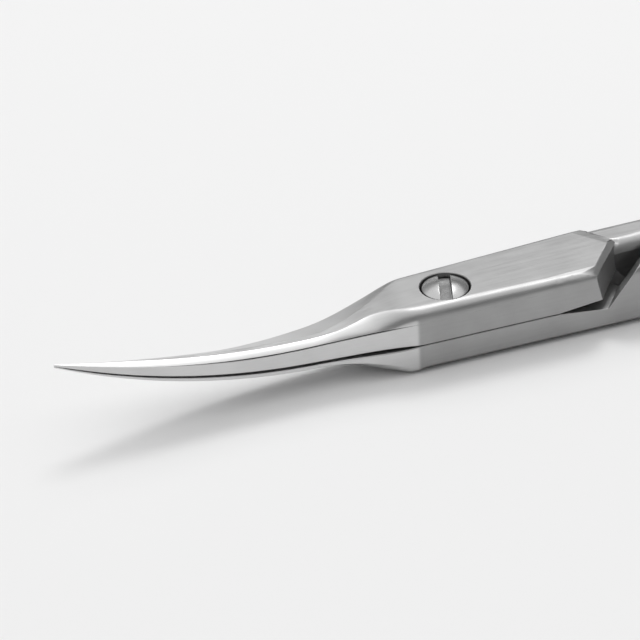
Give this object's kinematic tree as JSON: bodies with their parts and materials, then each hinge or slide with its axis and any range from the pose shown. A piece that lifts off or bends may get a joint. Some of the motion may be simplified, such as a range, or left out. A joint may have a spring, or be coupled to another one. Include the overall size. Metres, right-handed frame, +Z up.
{
  "type": "cuticle scissors",
  "caption": "Curved-blade steel cuticle scissors: slim pointed blades bent upwards, lapped joint block with a slotted pivot screw, straight shanks and oval finger rings.",
  "frame": {"origin": "where the pivot screw's axis meets the flat that the closed scissors lie on", "axes": "+X from the pivot towards the finger rings, +Z up along the pivot screw towards its head, blades along -X"},
  "size_m": [0.0965, 0.0468, 0.0065],
  "materials": {
    "upper_steel": "fine satin on the joint block and shank, polished blade",
    "lower_steel": "fine satin on the joint block and shank, polished blade",
    "screw_steel": "polished"
  },
  "bodies": {
    "lower_half": {"lower_half": "lower_steel"},
    "upper_half": {"upper_half": "upper_steel"},
    "pivot_screw": {"pivot_screw": "screw_steel"}
  },
  "joints": [
    {"name": "pivot", "type": "hinge", "parent": "lower_half", "child": "upper_half", "pos_m": [0, 0, 0], "axis": [0, 0, 1], "range_deg": [0, 60]},
    {"name": "tension_adjust", "type": "hinge", "parent": "lower_half", "child": "pivot_screw", "pos_m": [0, 0, 0], "axis": [0, 0, 1], "range_deg": [-30, 30]}
  ]
}
